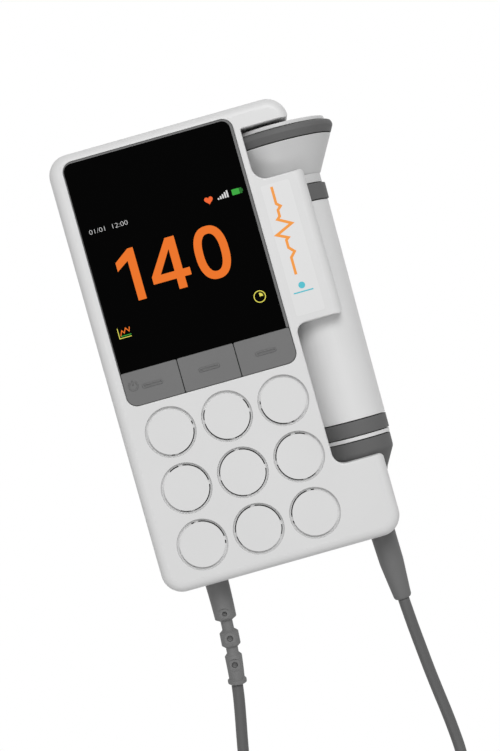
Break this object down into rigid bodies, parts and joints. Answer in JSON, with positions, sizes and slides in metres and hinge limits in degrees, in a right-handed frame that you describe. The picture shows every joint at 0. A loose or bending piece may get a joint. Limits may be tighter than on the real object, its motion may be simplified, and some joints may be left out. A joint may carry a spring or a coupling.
{
  "type": "fetal doppler monitor",
  "caption": "Hand-held fetal heartbeat doppler with a screen, a row of keys, a ringed speaker grille and a corded probe held in a side recess.",
  "frame": {"origin": "the middle of the unit's flat back face, without the probe and the cord", "axes": "+X to the right of the screen, +Y towards the screen's top, +Z out of the screen"},
  "size_m": [0.0897, 0.2727, 0.0363],
  "materials": {
    "casing": "light grey, finely textured moulded plastic",
    "dark_band": "dark grey soft-touch plastic",
    "key_grey": "mid grey silicone rubber",
    "screen_glass": "glossy black screen cover",
    "display": "colour display module",
    "circuit_board": "green circuit board",
    "component": "black moulded component",
    "steel": "plated steel",
    "grille_cloth": "black acoustic cloth",
    "speaker_cone": "black paper cone",
    "battery": "plain battery cell sleeve",
    "cord": "dark grey cord sheath and strain reliefs",
    "ceramic": "piezo ceramic",
    "foam": "dark backing foam",
    "acoustic_cap": "pale smooth acoustic face"
  },
  "bodies": {
    "main_unit": {"front_cover": "casing", "rear_cover": "casing", "display_window": "screen_glass", "lcd_module": "display", "key_switch_left": "component", "key_switch_centre": "component", "key_switch_right": "component", "keypad_board": "circuit_board", "main_board": "circuit_board", "processor_chip": "component", "audio_amplifier": "component", "cord_socket": "component", "grille_cloth": "grille_cloth", "loudspeaker_basket": "steel", "loudspeaker_magnet": "steel", "battery_cell_1": "battery", "battery_cell_2": "battery", "battery_contact_bridge": "steel", "battery_contact_minus": "steel", "battery_contact_plus": "steel", "case_screw_1": "steel", "case_screw_2": "steel", "case_screw_3": "steel", "case_screw_4": "steel", "unit_strain_relief": "cord", "cord_from_unit": "cord", "cord_coil": "cord", "cord_to_probe": "cord"},
    "left_key": {"key_left": "key_grey"},
    "centre_key": {"key_centre": "key_grey"},
    "right_key": {"key_right": "key_grey"},
    "speaker_cone": {"loudspeaker_cone": "speaker_cone"},
    "battery_cover": {"battery_door": "casing"},
    "probe": {"probe_face": "acoustic_cap", "probe_face_band": "dark_band", "probe_head": "casing", "probe_neck_band": "dark_band", "probe_handle": "casing", "probe_tail_band": "dark_band", "probe_tail_ring": "casing", "probe_tail": "dark_band", "probe_strain_relief": "cord", "piezo_transmitter": "ceramic", "piezo_receiver": "ceramic", "probe_backing": "foam", "probe_circuit_board": "circuit_board"}
  },
  "joints": [
    {"name": "left_key_press", "type": "slide", "parent": "main_unit", "child": "left_key", "axis": [0, 0, -1], "range_m": [0, 0.0004], "stiffness_N_per_m": 1500},
    {"name": "centre_key_press", "type": "slide", "parent": "main_unit", "child": "centre_key", "axis": [0, 0, -1], "range_m": [0, 0.0004], "stiffness_N_per_m": 1500},
    {"name": "right_key_press", "type": "slide", "parent": "main_unit", "child": "right_key", "axis": [0, 0, -1], "range_m": [0, 0.0004], "stiffness_N_per_m": 1500},
    {"name": "cone_travel", "type": "slide", "parent": "main_unit", "child": "speaker_cone", "axis": [0, 0, 1], "range_m": [-0.0005, 0.0005], "stiffness_N_per_m": 800},
    {"name": "battery_door_slide", "type": "slide", "parent": "main_unit", "child": "battery_cover", "axis": [0, -1, 0], "range_m": [0, 0.06]},
    {"name": "probe_out", "type": "slide", "parent": "main_unit", "child": "probe", "axis": [0.9999, -0.015, 0], "range_m": [0, 0.02]}
  ]
}
